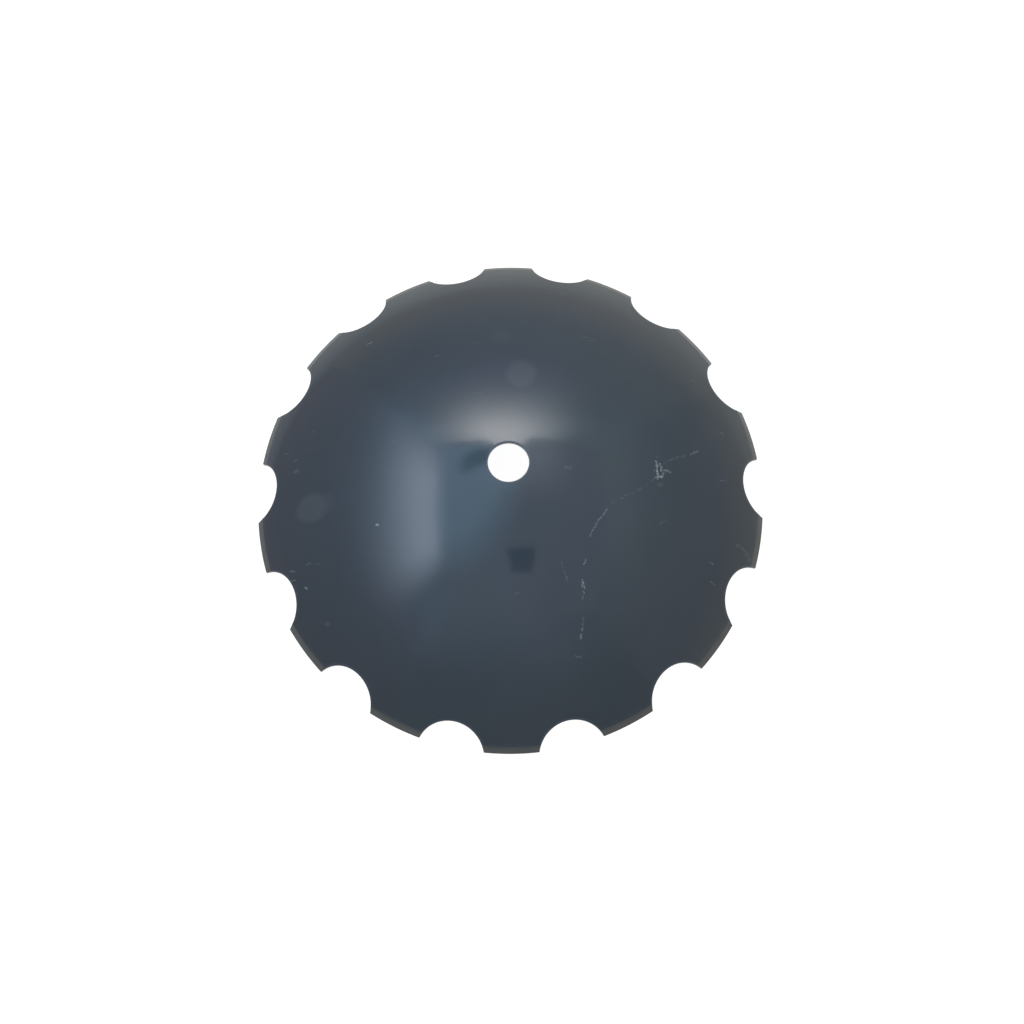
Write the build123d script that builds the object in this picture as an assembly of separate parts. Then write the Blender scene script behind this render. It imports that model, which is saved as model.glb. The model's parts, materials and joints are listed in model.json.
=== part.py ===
from build123d import *
import os
from math import hypot, sqrt

# Notched disc harrow blade: one pressed steel plate, lying on its tooth tips, convex side up.
# The plate is a cap of two concentric spheres. Its rim is turned to a true circle, a bevel is
# ground round the convex side, a round bore takes the gang axle and a ring of round scallops
# leaves the teeth. Origin: centre of the rim plane. +Z: along the bore axis, to the crown. Millimetres.

# plate
blade_diameter = 610.0
dish_depth = 112.0        # rim plane to the hollow side at the centre
plate_thickness = 5.0

# ground bevel on the convex side
bevel_width = 7.5         # across, from the rim inwards
bevel_depth = 1.5         # metal taken off at the rim, along the axis

# centre hole for the gang axle
bore_diameter = 44.5

# scallops round the rim
notch_count = 14
notch_radius = 39.5
notch_depth = 28.5        # rim circle to the bottom of a notch

# broken corners round the bore and the notches, on the convex side
edge_break = 0.8

rim_radius = blade_diameter / 2
bore_radius = bore_diameter / 2
hollow_radius = (rim_radius**2 + dish_depth**2) / (2 * dish_depth)
crown_radius = hollow_radius + plate_thickness
sphere_centre_z = dish_depth - hollow_radius
notch_centre_radius = rim_radius - notch_depth + notch_radius
cutter_height = 2 * (dish_depth + plate_thickness)


def height_at(radius, sphere_radius):
    """Height of one of the two spheres at a distance from the axis."""
    return sphere_centre_z + sqrt(sphere_radius**2 - radius**2)


def arc_on(sphere_radius, start_radius, end_radius):
    """Arc of the section that lies on one sphere, from one distance from the axis to another."""
    middle_radius = (start_radius + end_radius) / 2
    points = [(r, height_at(r, sphere_radius)) for r in (start_radius, middle_radius, end_radius)]
    return ThreePointArc(*points)


def plate_section():
    """Half section: hollow side, blunt edge, bevel, convex side and the wall of the bore."""
    bevel_start_radius = rim_radius - bevel_width
    edge_top = (rim_radius, height_at(rim_radius, crown_radius) - bevel_depth)
    with BuildSketch(Plane.XZ) as section:
        with BuildLine():
            hollow = arc_on(hollow_radius, bore_radius, rim_radius)
            Line(hollow @ 1, edge_top)
            convex = arc_on(crown_radius, bevel_start_radius, bore_radius)
            Line(edge_top, convex @ 0)
            Line(convex @ 1, hollow @ 0)
        make_face()
    return section.sketch


def notch_cutters():
    """The ring of round punches that leaves the teeth."""
    with BuildPart() as cutters:
        with PolarLocations(notch_centre_radius, notch_count):
            Cylinder(notch_radius, cutter_height)
    return cutters.part


def punched_edges(blade):
    """Convex-side edges of the bore and of the notches, up to the bevel."""
    def is_punched(edge):
        middle = edge @ 0.5
        reach = hypot(middle.X, middle.Y)
        on_convex_side = abs(middle.Z - height_at(reach, crown_radius)) < plate_thickness / 4
        return on_convex_side and reach < rim_radius - bevel_width - edge_break
    return blade.edges().filter_by(is_punched)


def disc_blade():
    """The whole blade."""
    with BuildPart() as blade:
        add(revolve(plate_section(), axis=Axis.Z))
        add(notch_cutters(), mode=Mode.SUBTRACT)
        chamfer(punched_edges(blade), edge_break)
    return blade.part


os.makedirs("parts", exist_ok=True)
export_step(disc_blade(), "parts/disc_blade.step")
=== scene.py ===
# %% [markdown]
# # A notched disc harrow blade
# The object is one pressed steel plate: a shallow dish with a scalloped rim, a ground bevel and a
# round hole for the gang axle, painted dark blue-grey and lying on its teeth with the crown up.
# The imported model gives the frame, so every size below is in metres and sits where the solid sits.

# %% Load the frame
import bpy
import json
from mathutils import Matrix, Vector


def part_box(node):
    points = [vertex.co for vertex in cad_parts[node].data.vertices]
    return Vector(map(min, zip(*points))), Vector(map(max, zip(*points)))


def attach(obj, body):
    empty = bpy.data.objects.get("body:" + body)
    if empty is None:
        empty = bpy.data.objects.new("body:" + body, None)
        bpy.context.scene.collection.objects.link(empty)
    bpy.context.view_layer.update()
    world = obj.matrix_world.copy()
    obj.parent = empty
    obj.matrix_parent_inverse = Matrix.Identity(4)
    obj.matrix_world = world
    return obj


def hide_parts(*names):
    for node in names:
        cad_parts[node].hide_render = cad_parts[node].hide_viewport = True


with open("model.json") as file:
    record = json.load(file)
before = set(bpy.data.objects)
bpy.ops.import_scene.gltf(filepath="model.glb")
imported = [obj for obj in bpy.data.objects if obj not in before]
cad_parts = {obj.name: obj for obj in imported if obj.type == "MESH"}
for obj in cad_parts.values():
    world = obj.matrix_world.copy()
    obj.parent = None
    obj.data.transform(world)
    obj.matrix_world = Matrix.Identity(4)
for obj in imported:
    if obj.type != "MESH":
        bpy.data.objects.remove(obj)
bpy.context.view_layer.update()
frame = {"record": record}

import functools
import json
import math
import bpy
import numpy as np
from mathutils import Quaternion, Vector

NODE = "disc_blade"
low, high = (np.array(corner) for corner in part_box(NODE))
print("solid box in metres", low.round(4), high.round(4))

# %% [markdown]
# ## The sizes of the plate
# A harrow disc is a cap of two spheres with one centre, because the press pushes flat plate into a
# round die. The rim's radius comes from the solid's box, and the hole from its mount. The rest are the
# few numbers that a blade maker would quote. The height that they give at the hole is printed beside
# the solid's own, as a check that both are the same plate.

# %% Sizes
mm = 0.001
bore_mount = next(m for m in frame["record"]["mounts"] if m["name"] == "axle_bore")
rim_radius = float(high[1])
bore_radius = bore_mount["dims"]["r_mm"] * mm
dish_depth = 112 * mm
plate_thickness = 5 * mm
bevel_width = 7.5 * mm
bevel_depth = 1.5 * mm
notch_count = 14
notch_radius = 39.5 * mm
notch_depth = 28.5 * mm
punched_corner = 0.8 * mm

hollow_radius = (rim_radius**2 + dish_depth**2) / (2 * dish_depth)
crown_radius = hollow_radius + plate_thickness
sphere_height = dish_depth - hollow_radius
bevel_start = rim_radius - bevel_width
notch_centre = rim_radius - notch_depth + notch_radius
hole_height = sphere_height + (crown_radius**2 - (bore_radius + punched_corner)**2)**0.5
print("crown radius", round(crown_radius, 5))
print("height at the hole", round(hole_height, 5), "and of the solid", round(float(high[2]), 5))

# %% [markdown]
# ## The outline
# A punch bites the scallops out of the round blank, one after another. Seen from above the outline is
# a ring of round bites joined by short arcs of the rim. Both are worked out as whole arrays: angles
# about a bite's centre, then angles about the disc's centre. Each point also gets the direction
# straight out of the metal, which later rows are stepped back along.

# %% Outline of the notched rim
FLANK_STEPS, BITE_STEPS, TOOTH_STEPS = 4, 40, 16


def angle_in_bite(reach):
    """Angle about a bite's centre at which the bite is that far from the axis: law of cosines."""
    cosine = (notch_centre**2 + notch_radius**2 - reach**2) / (2 * notch_centre * notch_radius)
    return np.arccos(cosine)


def turned(points, angle):
    """Points of the plane turned about the axis."""
    c, s = np.cos(angle), np.sin(angle)
    x, y = points[..., 0], points[..., 1]
    return np.stack([c * x - s * y, s * x + c * y], axis=-1)


def outline():
    """Points, outward directions and step-back factors of the closed outline.

    Bite: centre minus the bite's radius times (cos a, -sin a), for a from one tooth corner to the next.
    Tooth: the rim circle between two bites. At a corner the direction is half way between both
    edges, and the factor 1 / cos(half the turn) keeps a stepped-back row parallel to them.
    """
    corner = angle_in_bite(rim_radius)
    flank = angle_in_bite(bevel_start)
    a = np.concatenate([np.linspace(-corner, -flank, FLANK_STEPS, endpoint=False),
                        np.linspace(-flank, flank, BITE_STEPS, endpoint=False),
                        np.linspace(flank, corner, FLANK_STEPS + 1)])
    bite_out = np.stack([np.cos(a), -np.sin(a)], axis=-1)
    bite = np.array([notch_centre, 0.0]) - notch_radius * bite_out
    start = np.arctan2(bite[-1, 1], bite[-1, 0])
    step = 2 * np.pi / notch_count
    t = np.linspace(start, step - start, TOOTH_STEPS + 1)[1:-1]
    tooth_out = np.stack([np.cos(t), np.sin(t)], axis=-1)
    points = np.concatenate([bite, rim_radius * tooth_out])
    out = np.concatenate([bite_out, tooth_out])
    factor = np.ones(len(points))
    for index in (0, len(a) - 1):
        radial = points[index] / rim_radius
        half_way = out[index] + radial
        half_way /= np.linalg.norm(half_way)
        factor[index] = 1 / (half_way @ radial)
        out[index] = half_way
    turns = np.arange(notch_count)[:, None] * step
    points = turned(points[None], turns).reshape(-1, 2)
    out = turned(out[None], turns).reshape(-1, 2)
    return points, out, np.tile(factor, notch_count)


rim_points, rim_out, rim_factor = outline()
print("outline points", len(rim_points), "smallest reach", np.hypot(*rim_points.T).min().round(4))

# %% [markdown]
# ## The section, carried round the outline
# The plate could be a revolved solid with booleans, but booleans leave thin, uneven faces that spoil
# a glossy finish. Here one closed section is carried round the notched outline instead: crown side,
# bevel, rounded corner, cut wall, hollow side and the wall of the hole. The mesh is a ring both ways,
# so it has no seam and no pole, and its rows meet every mark that a tool left. The punch leaves a wider
# rounded corner in the bites and the hole than the grinding wheel leaves on the teeth.

# %% Rows of the section
CROWN_STEPS, HOLLOW_STEPS = 28, 26
ground_corner = 0.15 * mm
underside_corner = 0.2 * mm
hole_underside_corner = 0.4 * mm
corner_fade = 5 * mm
narrowest_bevel = 0.4 * mm


def crown_height(reach):
    """Height of the crown side: the outer sphere, and outside the bevel's start a straight cone."""
    sphere = sphere_height + np.sqrt(crown_radius**2 - reach**2)
    at_start = sphere_height + np.sqrt(crown_radius**2 - bevel_start**2)
    at_rim = sphere_height + np.sqrt(crown_radius**2 - rim_radius**2) - bevel_depth
    cone = at_start + (at_rim - at_start) * (reach - bevel_start) / bevel_width
    return np.where(reach > bevel_start, cone, sphere)


def hollow_height(reach):
    """Height of the hollow side: the inner sphere."""
    return sphere_height + np.sqrt(hollow_radius**2 - reach**2)


def on_side(flat, height):
    """Points of the plane lifted on to one side of the plate."""
    return np.concatenate([flat, height(np.hypot(flat[..., 0], flat[..., 1]))[..., None]], axis=-1)


def between(first, last, shares):
    """Rows of points spread from one row to another by shares from 0 to 1."""
    return first[None] + (last - first)[None] * np.asarray(shares)[:, None, None]


def rounded(start, corner, end, steps):
    """Rows round a corner: the curve (1-t)^2 start + 2t(1-t) corner + t^2 end, t from 0 to 1."""
    t = np.linspace(0, 1, steps + 1)[:, None, None]
    return (1 - t)**2 * start[None] + 2 * t * (1 - t) * corner[None] + t**2 * end[None]


def spread(steps, hold):
    """Shares from 0 to 1, with a close row at each end that keeps the corner's shading narrow."""
    inner = np.linspace(0, 1, steps + 1)[1:-1]
    return np.concatenate([[0, hold], inner, [1 - hold, 1]])


def blade_rows():
    """The closed section at every outline point, as an array of rows x outline x 3, and its bands."""
    reach = np.hypot(*rim_points.T)
    in_bite = np.clip((bevel_start - reach) / corner_fade, 0, 1)
    top_size = ground_corner + (punched_corner - ground_corner) * in_bite
    under_size = np.full_like(reach, underside_corner)
    direction = rim_points / reach[:, None]

    def stepped_back(distance):
        return rim_points - (distance * rim_factor)[:, None] * rim_out

    edge_flat = stepped_back(top_size)
    edge_reach = np.hypot(*edge_flat.T)
    start_reach = np.minimum(bevel_start, edge_reach - narrowest_bevel)
    start_flat = edge_flat * (start_reach / edge_reach)[:, None]
    hole_flat = direction * (bore_radius + punched_corner)
    crown = on_side(between(hole_flat, start_flat, spread(CROWN_STEPS, 0.004)), crown_height)
    band = on_side(between(start_flat, edge_flat, [0, 0.06, 0.35, 0.65, 0.94, 1]), crown_height)

    top_corner = on_side(rim_points, crown_height)
    up = np.array([0, 0, 1.0])
    wall_top = top_corner - top_size[:, None] * up
    under_corner = on_side(rim_points, hollow_height)
    wall_end = under_corner + under_size[:, None] * up
    under_edge = on_side(stepped_back(under_size), hollow_height)
    top_round = rounded(band[-1], top_corner, wall_top, 5)
    wall = between(wall_top, wall_end, [0, 0.04, 0.5, 0.96, 1])
    under_round = rounded(wall_end, under_corner, under_edge, 4)

    hole_edge_flat = direction * (bore_radius + hole_underside_corner)
    hollow = on_side(between(under_edge[:, :2], hole_edge_flat, spread(HOLLOW_STEPS, 0.003)), hollow_height)
    bore_flat = direction * bore_radius
    low_corner = on_side(bore_flat, hollow_height)
    high_corner = on_side(bore_flat, crown_height)
    hole_low = low_corner + hole_underside_corner * up
    hole_high = high_corner - punched_corner * up
    low_round = rounded(hollow[-1], low_corner, hole_low, 4)
    bore = between(hole_low, hole_high, [0, 0.05, 0.95, 1])
    high_round = rounded(hole_high, high_corner, crown[0], 5)

    parts = [crown, band, top_round, wall, under_round, hollow, low_round, bore, high_round]
    rows = np.concatenate([part[:-1] for part in parts])
    starts = np.cumsum([0] + [len(part) - 1 for part in parts])
    return rows, starts, start_reach


rows, part_starts, bevel_reach = blade_rows()
print("rows", rows.shape, "first row of each part", part_starts.tolist())

# %% [markdown]
# The rows become one mesh. A face is four neighbours of the grid, and both directions wrap round.
# The crease where the grinding wheel stopped is marked sharp, because the turn there is only seven
# degrees and plain smooth shading would wash it out. Faces between two crease points that lie on the
# bevel's circle are ground steel, and the rest of the plate is as pressed.

# %% Build the mesh
def ring_mesh(name, grid, crease_row):
    """A mesh closed both ways from a grid of points: face (i, j) joins rows i, i+1 and columns j, j+1."""
    n_rows, n_cols = grid.shape[:2]
    i, j = np.meshgrid(np.arange(n_rows), np.arange(n_cols), indexing="ij")
    i_next, j_next = (i + 1) % n_rows, (j + 1) % n_cols
    quads = np.stack([i * n_cols + j, i_next * n_cols + j,
                      i_next * n_cols + j_next, i * n_cols + j_next], axis=-1).reshape(-1, 4)
    mesh = bpy.data.meshes.new(name)
    mesh.from_pydata(grid.reshape(-1, 3), [], quads)
    mesh.polygons.foreach_set("use_smooth", np.ones(len(quads), dtype=bool))
    ends = np.empty(len(mesh.edges) * 2, dtype=np.int32)
    mesh.edges.foreach_get("vertices", ends)
    sharp = (ends.reshape(-1, 2) // n_cols == crease_row).all(axis=1)
    mesh.attributes.new("sharp_edge", "BOOLEAN", "EDGE").data.foreach_set("value", sharp)
    corners = grid.reshape(-1, 3)[quads]
    first_half = np.cross(corners[:, 1] - corners[:, 0], corners[:, 2] - corners[:, 0])
    second_half = np.cross(corners[:, 2] - corners[:, 0], corners[:, 3] - corners[:, 0])
    volume = ((first_half + second_half) * corners[:, 0]).sum() / 6
    print(name, "faces", len(quads), "enclosed litres", round(float(volume) * 1000, 4))
    mesh.update()
    return mesh


crease = int(part_starts[1])
blade_mesh = ring_mesh("blade_plate", rows, crease)
blade = bpy.data.objects.new("blade_plate", blade_mesh)
bpy.context.scene.collection.objects.link(blade)

tolerance = 1e-9
on_circle = bevel_reach >= bevel_start - tolerance
ground_column = on_circle & np.roll(on_circle, -1)
face_row = np.repeat(np.arange(rows.shape[0]), rows.shape[1])
face_column = np.tile(np.arange(rows.shape[1]), rows.shape[0])
ground_face = (face_row >= part_starts[1]) & (face_row < part_starts[2]) & ground_column[face_column]
blade_mesh.polygons.foreach_set("material_index", ground_face.astype(np.int32))
print("ground faces", int(ground_face.sum()))

# %% [markdown]
# ## A class for shader sums
# Finishes are written as sums on sockets. The class below wraps an output, and each operator adds the
# Math node that it stands for, so a mask reads like the formula it is. Everything that isn't plain
# arithmetic comes from one method, which sets a node's settings first and its sockets after.

# %% Shader sums
class Wire:
    """An output of a node. Arithmetic on it adds Math nodes, and so does arithmetic with it on the right."""

    def __init__(self, tree, socket=None):
        self.tree, self.socket = tree, socket

    def add(self, kind, settings=None, inputs=None, output=0):
        """One node: its settings first, then values or links for its sockets."""
        node = self.tree.nodes.new(kind)
        for key, value in (settings or {}).items():
            setattr(node, key, value)
        for key, value in (inputs or {}).items():
            socket = find_socket(node.inputs, key)
            if isinstance(value, Wire):
                self.tree.links.new(value.socket, socket)
            else:
                socket.default_value = value
        return Wire(self.tree, find_socket(node.outputs, output) if len(node.outputs) else None)

    def math(self, operation, *values):
        """A Math node on numbers and wires."""
        return self.add("ShaderNodeMath", {"operation": operation}, dict(enumerate(values)))

    def vector(self, operation, *values, output=0):
        """A Vector Math node on this colour or vector and others."""
        inputs = dict(enumerate((self, *values)))
        return self.add("ShaderNodeVectorMath", {"operation": operation}, inputs, output)

    def scaled(self, factor):
        """A colour or vector times a number."""
        return self.add("ShaderNodeVectorMath", {"operation": "SCALE"}, {0: self, "Scale": factor})

    def times(self, shade):
        """This value times a colour or vector that is the same everywhere."""
        return self.add("ShaderNodeVectorMath", {"operation": "SCALE"}, {0: shade, "Scale": self})

    def __add__(self, other):
        return self.math("ADD", self, other)

    def __radd__(self, other):
        return self.math("ADD", other, self)

    def __sub__(self, other):
        return self.math("SUBTRACT", self, other)

    def __rsub__(self, other):
        return self.math("SUBTRACT", other, self)

    def __mul__(self, other):
        return self.math("MULTIPLY", self, other)

    def __rmul__(self, other):
        return self.math("MULTIPLY", other, self)

    def __pow__(self, other):
        return self.math("POWER", self, other)

    def at_most(self, other):
        """The smaller of the two."""
        return self.math("MINIMUM", self, other)

    def at_least(self, other):
        """The larger of the two."""
        return self.math("MAXIMUM", self, other)

    def ramp(self, start, end, low=0.0, high=1.0):
        """A smooth step from low at start to high at end. It holds its own ends, so its clamp stays off."""
        return self.add("ShaderNodeMapRange", {"interpolation_type": "SMOOTHSTEP", "clamp": False},
                        {"Value": self, "From Min": start, "From Max": end, "To Min": low, "To Max": high})

    def noise(self, scale, detail=2.0, roughness=0.5):
        """Noise from 0 to 1 with about that many features in each unit of this vector."""
        return self.add("ShaderNodeTexNoise", None,
                        {"Vector": self, "Scale": scale, "Detail": detail, "Roughness": roughness})

    def tint(self, first, second):
        """A colour between two, with this value as the share of the second."""
        inputs = {"Factor_Float": self, "A_Color": colour(first), "B_Color": colour(second)}
        return self.add("ShaderNodeMix", {"data_type": "RGBA"}, inputs, "Result_Color")


def find_socket(sockets, key):
    """A socket by number, identifier or name."""
    if isinstance(key, int):
        return sockets[key]
    return next((s for s in sockets if s.identifier == key), None) or sockets[key]


def colour(value):
    """A colour with its alpha, or a wire as it is."""
    return value if isinstance(value, Wire) else (*value, 1.0)


def new_material(name):
    """An empty node material, as a bare Wire to build on."""
    material = bpy.data.materials.new(name)
    material.use_nodes = True
    material.node_tree.nodes.clear()
    return material, Wire(material.node_tree)


def finish_material(shader):
    """Links a shader to the material's output."""
    shader.add("ShaderNodeOutputMaterial", None, {"Surface": shader})


print("shader sums ready")

# %% [markdown]
# ## Marks on the paint
# A new blade is stacked, strapped and dragged before it is used, and each knock leaves a pale line in
# the dark paint. A texture could hold them, but a scuff is only a distance to a short line, so each
# one is a few nodes. A strap skips as it is dragged: its route is a few given points, and a
# function breaks it into dashes. A single knock is a place, with its length and lie drawn at random.
# Two of the knocks' places, on a bite's edge, are painted glints: a highlight painted in as pale marks.

# %% Scuffs
chance = np.random.default_rng(24)
SCATTER_REACH = 270


def strengths(count, faintest, palest):
    """A strength for each mark, drawn evenly between the two."""
    return chance.uniform(faintest, palest, count)


def dashes(route, spacing, longest, faintest, palest, stray=0.5):
    """Dashes along a route of straight runs, one to each spacing, as rows of x, y, x, y, strength.

    A dash starts at a drawn way along the route and goes on for a drawn length. Both ends are read off
    the route by their way along it, so the dashes follow its bends, and then stray a little from it.
    """
    x, y = np.array(route, float).T
    way = np.concatenate([[0], np.cumsum(np.hypot(np.diff(x), np.diff(y)))])
    count = int(way[-1] / spacing)
    start = (np.arange(count) + chance.uniform(0, 0.4, count)) * spacing
    end = start + longest * chance.uniform(0.4, 1.0, count)
    columns = [np.interp(stops, way, line) + chance.normal(0, stray, count)
               for stops in (start, end) for line in (x, y)]
    return np.column_stack([*columns, strengths(count, faintest, palest)])


def knocks(places, longest, faintest, palest):
    """A short line at each place, leaning a little from X, as rows of x, y, x, y, strength."""
    places = np.array(places, float)
    lean = chance.normal(0, 0.3, len(places))
    half = 0.5 * longest * chance.uniform(0.5, 1.0, len(places))
    run = np.column_stack([np.cos(lean), np.sin(lean)]) * half[:, None]
    return np.column_stack([places - run, places + run, strengths(len(places), faintest, palest)])


def scattered(count):
    """Places spread evenly round the hole: the square root keeps the middle from getting too many."""
    reach = SCATTER_REACH * np.sqrt(chance.uniform(0.05, 1, count))
    turn = chance.uniform(0, 2 * math.pi, count)
    return np.column_stack([reach * np.cos(turn), reach * np.sin(turn)])


# Each group: the marks' width, then the marks. Places are in millimetres from the hole's axis. After a
# route come its spacing, longest dash, faintest and palest strength, and after places all but spacing.
SCUFFS_AND_GLINTS = {
    "strap end, where it caught": (2.2, np.vstack([
        dashes([(164, 8), (165, -12)], 5, 6, 0.6, 0.95),
        dashes([(161, -10), (169, -9)], 4, 5, 0.6, 0.9),
        dashes([(169, 7), (171, -8)], 5, 6, 0.38, 0.58),
        dashes([(172, -1), (180, -2)], 4, 6, 0.45, 0.65)])),
    "strap's first touch": (2.2, dashes([(206, 22), (217, 28)], 5, 7, 0.2, 0.42)),
    "strap, skipping": (1.6, dashes([(172, 6), (178, 11), (206, 22)], 8, 8, 0.05, 0.18)),
    "strap over the crown": (1.6, dashes(
        [(166, 16), (158, -15), (140, -28), (120, -38), (105, -48)], 9, 6, 0.05, 0.2)),
    "strap, pressed at the bend": (1.7, dashes(
        [(105, -49), (96, -62), (88, -75), (83, -88)], 8, 8, 0.22, 0.34)),
    "strap tail": (1.7, np.vstack([
        dashes([(82, -103), (78, -111)], 4, 2, 0.35, 0.6),
        dashes([(78, -125), (79, -136)], 3, 3, 0.3, 0.68, 1.0),
        dashes([(79, -136), (77, -146)], 5, 4, 0.15, 0.3)])),
    "strap tail, further out": (1.6, np.vstack([
        dashes([(79, -162), (77, -174)], 6, 6, 0.17, 0.34),
        dashes([(77, -174), (75, -186)], 4, 5, 0.26, 0.62)])),
    "strap tail, last touch": (1.6, dashes([(68, -203), (76, -203)], 4, 5, 0.25, 0.4)),
    "faint rub beside the tail": (1.8, dashes([(55, -105), (60, -123), (65, -135)], 8, 9, 0.08, 0.14)),
    # Two of these places, (-250, -102) and (-249, -112) on a bite's edge, are painted glints: a highlight
    # painted in as pale marks.
    "knocks from a neighbour's teeth, and two painted glints": (1.6, knocks(
        [(-169, 175), (-227, -96), (-250, -102), (-249, -112), (227, -100), (228, -121)],
        8, 0.22, 0.42)),
    "lighter knocks": (1.6, knocks(
        [(-265, 40), (-251, 28), (-230, 60), (-215, -98), (223, 124), (252, 58), (246, -3)],
        7, 0.1, 0.18)),
    "soft rub on a tooth": (4.5, dashes([(261, -76), (272, -80), (278, -90)], 7, 9, 0.08, 0.13)),
    "soft rubs": (4.5, knocks([(167, -18), (172, -3), (-204, -163), (-249, 14), (64, -6)], 5, 0.08, 0.13)),
    "grit caught in the stack": (2.6, knocks([(-143, -62), (-231, -122)], 2, 0.7, 1.0)),
    "dust and hairlines": (1.4, knocks(scattered(12), 9, 0.05, 0.16)),
}
print("scuffs_and_glints", {name: len(marks) for name, (width, marks) in SCUFFS_AND_GLINTS.items()})


def line_mark(flat, x0, y0, x1, y1, strength, width):
    """A mark's paleness, for a scuff or a painted glint: its strength on the line, falling smoothly to 0 a
    little outside half its width.

    The nearest point of the line is the start plus its run times (place - start).run / run.run, held
    between 0 and 1, and the scuff depends only on the distance to it.
    """
    start = np.array([x0, y0, 0]) * mm
    run = np.array([x1, y1, 0]) * mm - start
    offset = flat.vector("SUBTRACT", tuple(start))
    share = offset.vector("DOT_PRODUCT", tuple(run / (run @ run)), output="Value")
    nearest = share.at_least(0.0).at_most(1.0).times(tuple(run))
    distance = offset.vector("DISTANCE", nearest, output="Value")
    return distance.ramp(width * 0.75 * mm, width * 0.15 * mm, 0.0, strength)


def palest_of(marks):
    """The palest of several marks at each place. Each is joined once it is made, so few of them wait."""
    return functools.reduce(Wire.at_least, marks)


def all_scuffs_and_glints(flat):
    """Every scuff and painted glint of every group."""
    return palest_of(line_mark(flat, *mark, width) for width, marks in SCUFFS_AND_GLINTS.values() for mark in marks)


# %% [markdown]
# ## The painted plate
# Blades are dipped or sprayed straight after hardening. The coat is thin, dark blue-grey and glossy
# enough to mirror a lamp as a soft-edged shape. It is never even: it pools a little, it dries with a
# fine ripple, dust sits in it and faint pale rounds lie on it. Paint is one Principled shader;
# noise changes its colour and roughness by a few percent, and the ripple is a bump.

# %% Paint
DARKER_PAINT, LIGHTER_PAINT = (0.0325, 0.0488, 0.0665), (0.036, 0.0498, 0.069)
SCUFF_AND_GLINT_PAINT = (0.305, 0.340, 0.384)
DUST_SCALE = 213
# Each round: x, y, half widths along x and y in millimetres, and strength.
PALE_ROUNDS = [
    (15, 108, 18, 18, 1.0), (-224, -34, 22, 17, 1.0), (-208, -31, 14, 12, 0.5), (-8, 163, 13, 11, 0.2)]


def pale_round(flat, edge, x, y, half_x, half_y, strength):
    """A soft round, at its strength inside and 0 outside. Its reach is the offset over the half widths."""
    offset = flat.vector("SUBTRACT", (x * mm, y * mm, 0))
    shares = offset.vector("MULTIPLY", (1 / (half_x * mm), 1 / (half_y * mm), 0))
    reach = shares.vector("LENGTH", output="Value") + edge
    return reach.ramp(1.20, 0.66, 0.0, strength)


def edge_paleness(bare, flat):
    """1 at the bites' edges, a half where the bevel starts, and 0 a few millimetres further in.

    The angle is folded so that every bite falls on the first one. The way to a bite's edge is then the
    distance to its centre less its radius, and the way to the bevel is its start less the reach.
    """
    reach = flat.vector("LENGTH", output="Value")
    x, y = (bare.add("ShaderNodeSeparateXYZ", None, {0: flat}, axis) for axis in "XY")
    angle = bare.math("PINGPONG", bare.math("ARCTAN2", y, x), math.pi / notch_count)
    along = reach * bare.math("COSINE", angle) - notch_centre
    beside = reach * bare.math("SINE", angle)
    inside = (along * along + beside * beside) ** 0.5 - notch_radius
    return inside.ramp(4 * mm, 0.5 * mm).at_least(reach.ramp(bevel_start - 5 * mm, bevel_start, 0.0, 0.5))


def painted_plate():
    """Thin glossy paint, uneven in tone, with dust in it, and pale rounds, scuffs and two painted glints on
    the crown side only.
    """
    material, bare = new_material("painted_plate")
    place = bare.add("ShaderNodeTexCoord", None, None, "Object")
    flat = place.vector("MULTIPLY", (1, 1, 0))
    from_centre = place.vector("DISTANCE", (0, 0, sphere_height), output="Value")
    inner, outer = (hollow_radius + share * plate_thickness for share in (0.4, 0.6))
    crown_side = from_centre.ramp(inner, outer)

    clouds = place.noise(7, 3, 0.55)
    streaks = place.vector("MULTIPLY", (1, 0.16, 1)).noise(60, 2, 0.5)
    grain = place.noise(900, 2, 0.6)
    shade = 0.90 + 0.12 * clouds + 0.05 * streaks + 0.06 * grain
    base = clouds.ramp(0.3, 0.7).tint(DARKER_PAINT, LIGHTER_PAINT)

    edge = place.noise(90, 3, 0.6) * 0.5 - 0.25
    pale_rounds = palest_of(pale_round(flat, edge, *one_round) for one_round in PALE_ROUNDS)
    dust = {"Vector": place, "Scale": DUST_SCALE, "Randomness": 1.0}
    specks = bare.add("ShaderNodeTexVoronoi", {"feature": "F1"}, dust, "Distance")
    nibs = specks.ramp(0.10, 0.05) * place.noise(23, 2, 0.5).ramp(0.52, 0.64)

    wobble = bare.add("ShaderNodeTexNoise", None, {"Vector": place, "Scale": 330, "Detail": 1.0}, "Color")
    shift = wobble.vector("SUBTRACT", (0.5, 0.5, 0.5)).vector("MULTIPLY", (3 * mm, 3 * mm, 0))
    scuffed = flat.vector("ADD", shift)
    ragged = place.noise(480, 2, 0.6).ramp(0.40, 0.58, 0.25, 1.0)
    scuffs_and_glints = all_scuffs_and_glints(scuffed) * ragged
    pale = ((scuffs_and_glints + pale_rounds * 0.055) * crown_side + nibs * 0.05).at_most(1.0)
    shade = shade * (1 + 0.32 * edge_paleness(bare, flat))
    skin = pale.tint(base.scaled(shade), SCUFF_AND_GLINT_PAINT)
    rough = 0.075 + 0.03 * clouds + 0.02 * grain + 0.25 * pale
    ripple = place.noise(160, 2, 0.5) * 0.6 + grain * 0.15
    bump = bare.add("ShaderNodeBump", None, {"Height": ripple, "Strength": 0.12, "Distance": 0.0004})
    shader = bare.add("ShaderNodeBsdfPrincipled", None,
                      {"Base Color": skin, "Roughness": rough, "IOR": 1.5, "Normal": bump})
    finish_material(shader)
    print("painted plate nodes", len(bare.tree.nodes))
    return material


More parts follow.
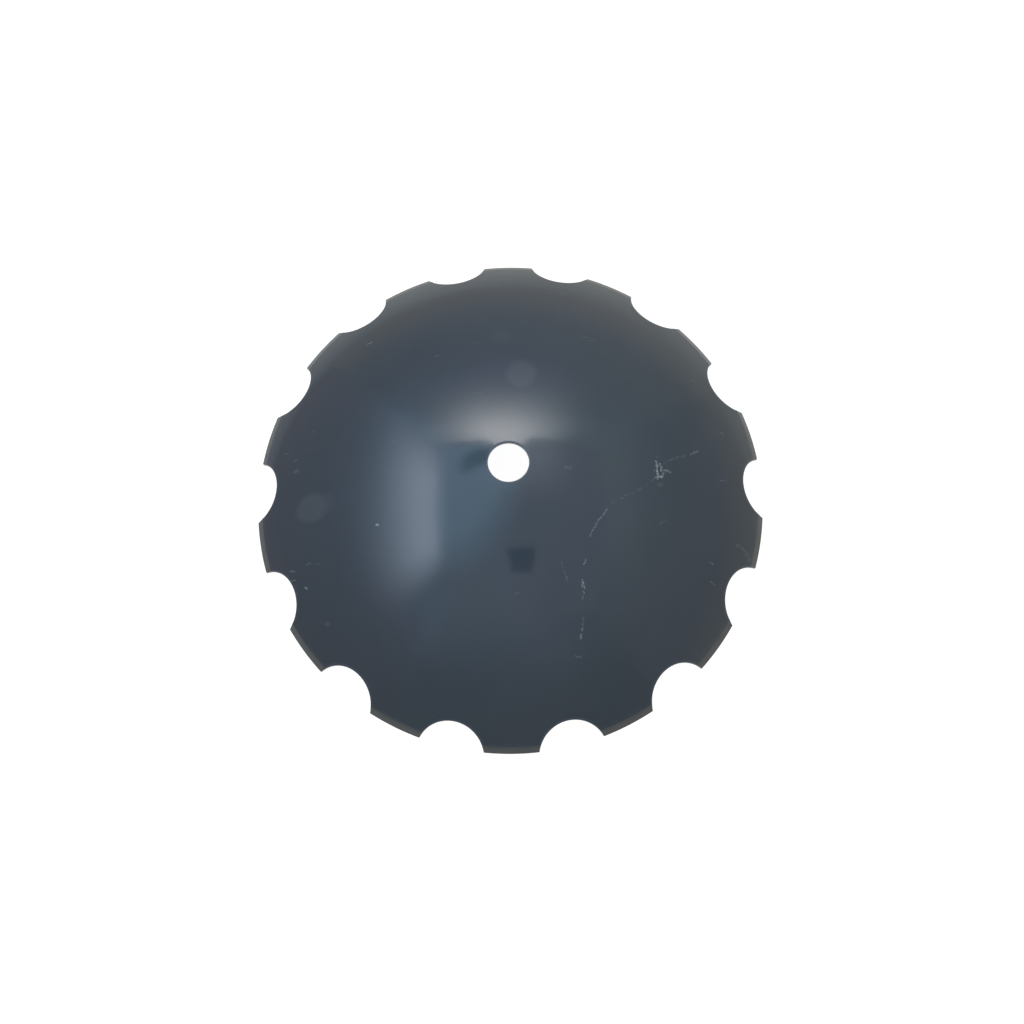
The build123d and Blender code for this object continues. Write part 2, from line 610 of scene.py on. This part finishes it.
# %% [markdown]
# ## The ground bevel
# The rim is ground after pressing and painted over, so the paint is thin and greyer there and the
# wheel's fine lines run across it, from the crown side to the edge. Their noise reads only the direction
# from the axis, enlarged, so a line stays the same along its length and the ring has no seam. The bevel
# is darker where the wheel ran out and along the very edge. On the teeth to the back left and back right
# it is painted paler, a painted reflection of the side windows' light.

# %% Bevel
DARKER_BEVEL, LIGHTER_BEVEL = (0.062, 0.072, 0.080), (0.069, 0.078, 0.085)
PAINTED_SIDE_LIGHT = (0.026, 0.036, 0.048)


def ground_bevel():
    """Thin paint over ground steel, lined by the wheel, with a painted reflection on the teeth to the back
    left and right.
    """
    material, bare = new_material("ground_bevel")
    place = bare.add("ShaderNodeTexCoord", None, None, "Object")
    flat = place.vector("MULTIPLY", (1, 1, 0))
    reach = flat.vector("LENGTH", output="Value")
    direction = flat.vector("NORMALIZE")
    lines = direction.vector("MULTIPLY", (330, 330, 1)).noise(1.0, 2, 0.6)
    blotches = place.noise(40, 3, 0.6)
    outer = reach.ramp(rim_radius - 1.4 * mm, rim_radius - 0.5 * mm)
    run_out = reach.ramp(bevel_start, bevel_start + 4 * mm, 0.74, 1.03)
    tone = (0.85 + 0.16 * lines + 0.16 * blotches) * run_out * (1 - 0.25 * outer)
    base = blotches.ramp(0.35, 0.65).tint(DARKER_BEVEL, LIGHTER_BEVEL)
    # Painted reflection: a paler tone on the teeth to the back left and right stands in for the side windows'
    # light on the bevel.
    turn = bare.add("ShaderNodeSeparateXYZ", None, {0: direction}, "Y")
    painted_side_light = turn.ramp(-0.05, 0.45) * turn.ramp(0.88, 0.62)
    steel = base.vector("ADD", painted_side_light.times(PAINTED_SIDE_LIGHT)).scaled(tone)
    rough = 0.24 + 0.12 * lines
    bump = bare.add("ShaderNodeBump", None, {"Height": lines, "Strength": 0.2, "Distance": 0.0002})
    shader = bare.add("ShaderNodeBsdfPrincipled", None,
                      {"Base Color": steel, "Roughness": rough, "IOR": 1.5, "Normal": bump})
    finish_material(shader)
    return material


for finish in (painted_plate(), ground_bevel()):
    blade_mesh.materials.append(finish)

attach(blade, "root")
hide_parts(NODE)
print("finishes", [m.name for m in blade_mesh.materials])

# %% [markdown]
# ## The floor
# A blade like this is shown on white. The floor is a plain pale sheet that takes the blade's shadow.
# To the eye it glows, so that it reads as white without more lamps on the blade. Mirrors see a quarter
# of that glow, and the light that falls on the blade comes from matt cloth. The cloth's colour holds
# painted shade: dark near the left wall and paler on the right, so the floor that the blade mirrors is
# dimmer on the left. From below the floor is clear, so the hollow side can be looked at, and a soft
# panel under the blade lights that side. The blade covers the panel, so the crown never sees it.

# %% Floor
FLOOR_HALF = 6.0
FLOOR_GLOW = 0.97
SHARE_IN_MIRRORS = 0.25
LEFT_CLOTH_PAINTED_SHADE, MIDDLE_CLOTH, RIGHT_CLOTH = (0.24, 0.22, 0.17), (0.68, 0.65, 0.55), (0.76, 0.80, 0.72)
PANEL_GLOW = (0.85, 0.90, 1.0)


def seen_directly(bare, in_mirrors=1.0):
    """1 for what the eye or glass sees, the given share in mirrors, 0 for the light that falls on things."""
    camera_ray = bare.add("ShaderNodeLightPath", None, None, "Is Camera Ray")
    glossy, through = (Wire(bare.tree, camera_ray.socket.node.outputs[name])
                       for name in ("Is Glossy Ray", "Is Transmission Ray"))
    return camera_ray.at_least(glossy * in_mirrors).at_least(through)


def stage_sheet(name, corners, material):
    """A flat sheet of the studio from its four corners."""
    mesh = bpy.data.meshes.new(name)
    mesh.from_pydata(corners, [], [(0, 1, 2, 3)])
    mesh.materials.append(material)
    sheet = bpy.data.objects.new(name, mesh)
    bpy.context.scene.collection.objects.link(sheet)
    return sheet


def pale_floor():
    """White to the eye with the blade's shadow on it, to everything else matt cloth with painted shade on its
    left, clear from below.
    """
    material, bare = new_material("pale_floor")
    place = bare.add("ShaderNodeTexCoord", None, None, "Object")
    across = bare.add("ShaderNodeSeparateXYZ", None, {0: place}, "X")
    # Painted shade: the cloth darkens towards the left wall and is paler on the right, and the blade mirrors
    # it.
    right_cloth = across.ramp(0.45, 0.90).tint(MIDDLE_CLOTH, RIGHT_CLOTH)
    cloth_with_painted_shade = across.ramp(-0.7, -0.05).tint(LEFT_CLOTH_PAINTED_SHADE, right_cloth)
    sheet = bare.add("ShaderNodeBsdfDiffuse", None, {"Color": cloth_with_painted_shade})
    under = place.vector("LENGTH", output="Value").ramp(0.28, 0.20)
    panel_light = under.tint((0, 0, 0), PANEL_GLOW)
    panel = bare.add("ShaderNodeEmission", None, {"Color": panel_light, "Strength": 1.0})
    matt = bare.add("ShaderNodeAddShader", None, {0: sheet, 1: panel})
    dimmed = bare.add("ShaderNodeBsdfDiffuse", None, {"Color": (0.2, 0.2, 0.2, 1)})
    glow = bare.add("ShaderNodeEmission", None, {"Color": (1, 1, 1, 1), "Strength": FLOOR_GLOW})
    white = bare.add("ShaderNodeAddShader", None, {0: dimmed, 1: glow})
    to_eye = seen_directly(bare, SHARE_IN_MIRRORS)
    shown = bare.add("ShaderNodeMixShader", None, {0: to_eye, 1: matt, 2: white})
    clear = bare.add("ShaderNodeBsdfTransparent")
    below = bare.add("ShaderNodeNewGeometry", None, None, "Backfacing")
    finish_material(bare.add("ShaderNodeMixShader", None, {0: below, 1: shown, 2: clear}))
    material.cycles.emission_sampling = "NONE"
    return material


floor_corners = [(x * FLOOR_HALF, y * FLOOR_HALF, 0) for x, y in ((-1, -1), (1, -1), (1, 1), (-1, 1))]
stage_sheet("floor", floor_corners, pale_floor())
print("floor", 2 * FLOOR_HALF, "m square")

# %% [markdown]
# ## The light tent
# Glossy paint shows the room, so the room matters more than the lamps. The blade lies in a square
# tent of white cloth: the left and back walls are lit from outside, and their light ends near the roof,
# which is what draws the two soft windows on the dome. Each sheet's glow is a sum of lights, and each
# light is a colour times smooth steps along the sheet. The camera can't see the sheets.

# %% Tent
roof = 1.5
left_x, right_x, front_y, back_y = -0.705, 0.95, -1.1, 0.68
LEFT_WINDOW, BACK_WINDOW, BACK_WINDOW_TOP = (2.78, 3.18, 3.80), (6.35, 6.2, 6.1), (5.6, 5.5, 5.4)


def glowing(name, light_of):
    """A material that gives light, with a colour worked out from the place on the sheet."""
    material, bare = new_material(name)
    place = bare.add("ShaderNodeTexCoord", None, None, "Object")
    axes = [bare.add("ShaderNodeSeparateXYZ", None, {0: place}, axis) for axis in "XYZ"]
    finish_material(bare.add("ShaderNodeEmission", None, {"Color": colour(light_of(*axes)), "Strength": 1.0}))
    return material


def light(base, *parts):
    """A base colour plus lights, each of them a colour times an amount that changes over the sheet."""
    (first_shade, first_amount), *others = parts
    total = first_amount.times(first_shade)
    for shade, amount in others:
        total = total.vector("ADD", amount.times(shade))
    return total.vector("ADD", base)


def along_left(y):
    """How the left window fades towards the front, and more slowly towards the back."""
    return y.ramp(-0.68, -0.24) * y.ramp(0.90, 0.23, 0.10, 1.0)


def left_light(x, y, z):
    """A tall cool window, brightest a little under the roof, over a dim sill and a wall warm at its foot."""
    window = z.ramp(0.43, 1.20) * z.ramp(1.66, 1.38) * along_left(y)
    sill = z.ramp(0.28, 0.55) * z.ramp(1.05, 0.70) * y.ramp(-0.55, -0.20)
    return light((0.36, 0.29, 0.24), ((0.20, 0.40, 0.62), z.ramp(0.4, 1.2)), (LEFT_WINDOW, window),
                 ((0.10, 0.20, 0.30), sill))


def back_light(x, y, z):
    """A round-topped glow behind the crown, the brightest thing in the tent, over a dim warm wall.

    A fainter fringe, shoulder and veil surround it, so it fades unevenly, as light through cloth does.
    Cool light fills the corner on its left.
    """
    top = z + x.ramp(0.07, 0.24, 0.0, 0.12) + x.ramp(-0.08, -0.30, 0.0, 0.08)
    across = x.ramp(-0.80, -0.12) ** 1.8 * x.ramp(0.66, -0.04) ** 1.6
    spot = z.ramp(0.42, 1.36) ** 1.45 * across * top.ramp(1.55, 1.48)
    fringe = x.ramp(0.68, 0.40) * z.ramp(0.90, 1.15) * z.ramp(1.46, 1.28) * (1 - 0.9 * across)
    shoulder = z.ramp(1.2, 1.5) * x.ramp(0.66, 0.18) * x.ramp(0.06, 0.26)
    veil = z.ramp(0.70, 1.15) * z.ramp(1.56, 1.28) * x.ramp(-0.70, -0.42) * x.ramp(0.75, 0.20)
    veil = veil * (1.1 - across)
    return light((0.33, 0.28, 0.21), ((0.20, 0.24, 0.26), x.ramp(-0.7, 0.6)), ((0.32, 0.38, 0.48), veil),
                 ((0.20, 0.16, 0.12), z.ramp(0.25, 0.0)), ((0.15, 0.25, 0.25), z.ramp(0.5, 1.2)),
                 ((0.58, 0.92, 1.20), z.ramp(0.45, 1.25) * x.ramp(-0.40, -0.70)),
                 ((0.13, 0.17, 0.30), z.ramp(0.36, 0.60) * x.ramp(0.50, 0.05)), ((0.42, 0.46, 0.50), fringe),
                 ((0.80, 0.82, 0.88), shoulder), (BACK_WINDOW, spot))


def roof_light(x, y, z):
    """A cool glow over the back left corner, crossed near the back by the tent's dark ridge.

    The two windows' light runs on to the roof as a strip along its left and its back edge.
    """
    reach = ((x + 0.62) * (x + 0.62) + (y - 0.5) * (y - 0.5) * 0.52) ** 0.5
    glow = reach.ramp(0.87, 0.42) * x.ramp(-0.75, -0.50, 0.75, 1.0)
    haze = y.ramp(0.02, 0.56) * x.ramp(0.70, 0.15) * x.ramp(-0.30, -0.05)
    left_edge = x.ramp(-0.555, -0.86) * along_left(y)
    back_edge = y.ramp(0.63, 0.68) * x.ramp(-0.34, -0.10) * x.ramp(0.22, 0.08)
    slant = y - 0.38 * x
    ridge = x.ramp(-0.10, -0.16) * x.ramp(-0.54, -0.38) * slant.ramp(0.495, 0.575) * slant.ramp(0.76, 0.70)
    spread_light = light((0.55, 0.55, 0.59), ((0.55, 1.14, 1.62), glow), ((0.95, 0.98, 1.08), haze),
                         ((0.10, 0.08, 0.05), y.ramp(0.1, 0.5) * x.ramp(0.2, 0.6)), (LEFT_WINDOW, left_edge),
                         ((0.06, 0.12, 0.17), x.ramp(0.35, -0.10) * y.ramp(-0.15, -0.45)))
    shaded = light((1, 1, 1), ((-0.80, -0.71, -0.70), ridge))
    run_on = light((0, 0, 0), (BACK_WINDOW_TOP, back_edge))
    return spread_light.vector("MULTIPLY", shaded).vector("ADD", run_on)


def right_light(x, y, z):
    """A plain dim wall, a little brighter high at the back and along the floor."""
    return light((0.43, 0.42, 0.39), ((0.30, 0.36, 0.28), z.ramp(0.5, 1.4) * y.ramp(-1.1, 0.5)),
                 ((0.20, 0.17, 0.13), z.ramp(0.3, 0.0)))


def front_light(x, y, z):
    """The darkest wall, cooler towards the roof."""
    return light((0.33, 0.32, 0.29), ((0.20, 0.27, 0.34), z.ramp(0.5, 1.35) * x.ramp(0.9, 0.2, 0.2, 1.0)))


def wall_corners(start, end):
    """An upright wall from one corner of the tent to another, from the floor to the roof."""
    return [(*start, 0), (*end, 0), (*end, roof), (*start, roof)]


left_front, left_back = (left_x, front_y), (left_x, back_y)
right_front, right_back = (right_x, front_y), (right_x, back_y)
roof_corners = [(*corner, roof) for corner in (left_front, left_back, right_back, right_front)]
walls = {
    "tent_left": (wall_corners(left_front, left_back), left_light),
    "tent_back": (wall_corners(left_back, right_back), back_light),
    "tent_roof": (roof_corners, roof_light),
    "tent_right": (wall_corners(right_back, right_front), right_light),
    "tent_front": (wall_corners(right_front, left_front), front_light),
}
for name, (sheet_corners, light_of) in walls.items():
    wall = stage_sheet(name, sheet_corners, glowing(name, light_of))
    wall.visible_camera = False
print("tent sheets", len(walls))

# %% [markdown]
# ## The camera's dark shape and a soft lamp
# The camera hangs over the blade and mirrors in it as one small dark square, so a dark card stands in
# for its body. A broad soft lamp under the roof brings the matt part of the paint to a plain level; it
# is hidden from mirrors, because the tent already draws everything that they show.

# %% Camera card and soft lamp
def dark_body(x, y, z):
    """No light at all, wherever the place is."""
    return 0, 0, 0


body_z, body_front, body_back = 0.93, -0.395, -0.240
card_outline = ((0.012, body_front), (0.124, body_front), (0.150, body_back), (-0.026, body_back))
card_corners = [(*corner, body_z) for corner in card_outline]
card = stage_sheet("camera_card", card_corners, glowing("camera_card", dark_body))
card.visible_camera = False
card.visible_shadow = False
card.visible_diffuse = False

lamp_data = bpy.data.lights.new("soft_lamp", "AREA")
lamp_data.shape, lamp_data.size, lamp_data.size_y = "RECTANGLE", 1.4, 1.4
lamp_data.energy = 3.2
lamp_data.color = (1.0, 0.58, 0.18)
lamp = bpy.data.objects.new("soft_lamp", lamp_data)
lamp.location = (0.1, 0.0, 1.45)
lamp.visible_glossy = False
lamp.visible_camera = False
bpy.context.scene.collection.objects.link(lamp)
print("soft lamp", lamp_data.size, "m square,", round(lamp_data.energy, 2), "watts")

# %% [markdown]
# ## The world
# The world is white to the eye and to mirrors, and only a dim fill for the light that falls on things.

# %% World
WORLD_FILL = 0.3
world = bpy.data.worlds.new("studio")
world.use_nodes = True
world.node_tree.nodes.clear()
sky = Wire(world.node_tree)
strength = seen_directly(sky).ramp(0, 1, WORLD_FILL, 1.0)
background = sky.add("ShaderNodeBackground", None, {"Color": (1, 1, 1, 1), "Strength": strength})
sky.add("ShaderNodeOutputWorld", None, {"Surface": background})
world.cycles.sampling_method = "NONE"
bpy.context.scene.world = world
print("world fill", WORLD_FILL)

# %% [markdown]
# ## The camera
# The camera hangs over the near half of the blade, a little under a metre up, and looks down about
# fifteen degrees off the axis. The far teeth are further away and seen more from the side, which is
# why they look smaller and flatter than the near ones.

# %% Camera
camera_place = Vector((0.0095, -0.2620, 0.9041))
aim = Vector((0.0033, -0.0515, 0.1))
roll = math.radians(-2.2)
camera_data = bpy.data.cameras.new("camera")
camera_data.lens, camera_data.sensor_width = 27.14, 36.0
camera = bpy.data.objects.new("camera", camera_data)
look = (aim - camera_place).normalized()
camera.location = camera_place
camera.rotation_mode = "QUATERNION"
camera.rotation_quaternion = look.to_track_quat("-Z", "Y") @ Quaternion((0, 0, 1), roll)
bpy.context.scene.collection.objects.link(camera)
bpy.context.scene.camera = camera
bpy.context.scene.view_settings.view_transform = "Standard"
print("camera looks down at", round(math.degrees(math.asin(-look.z)), 1), "degrees")
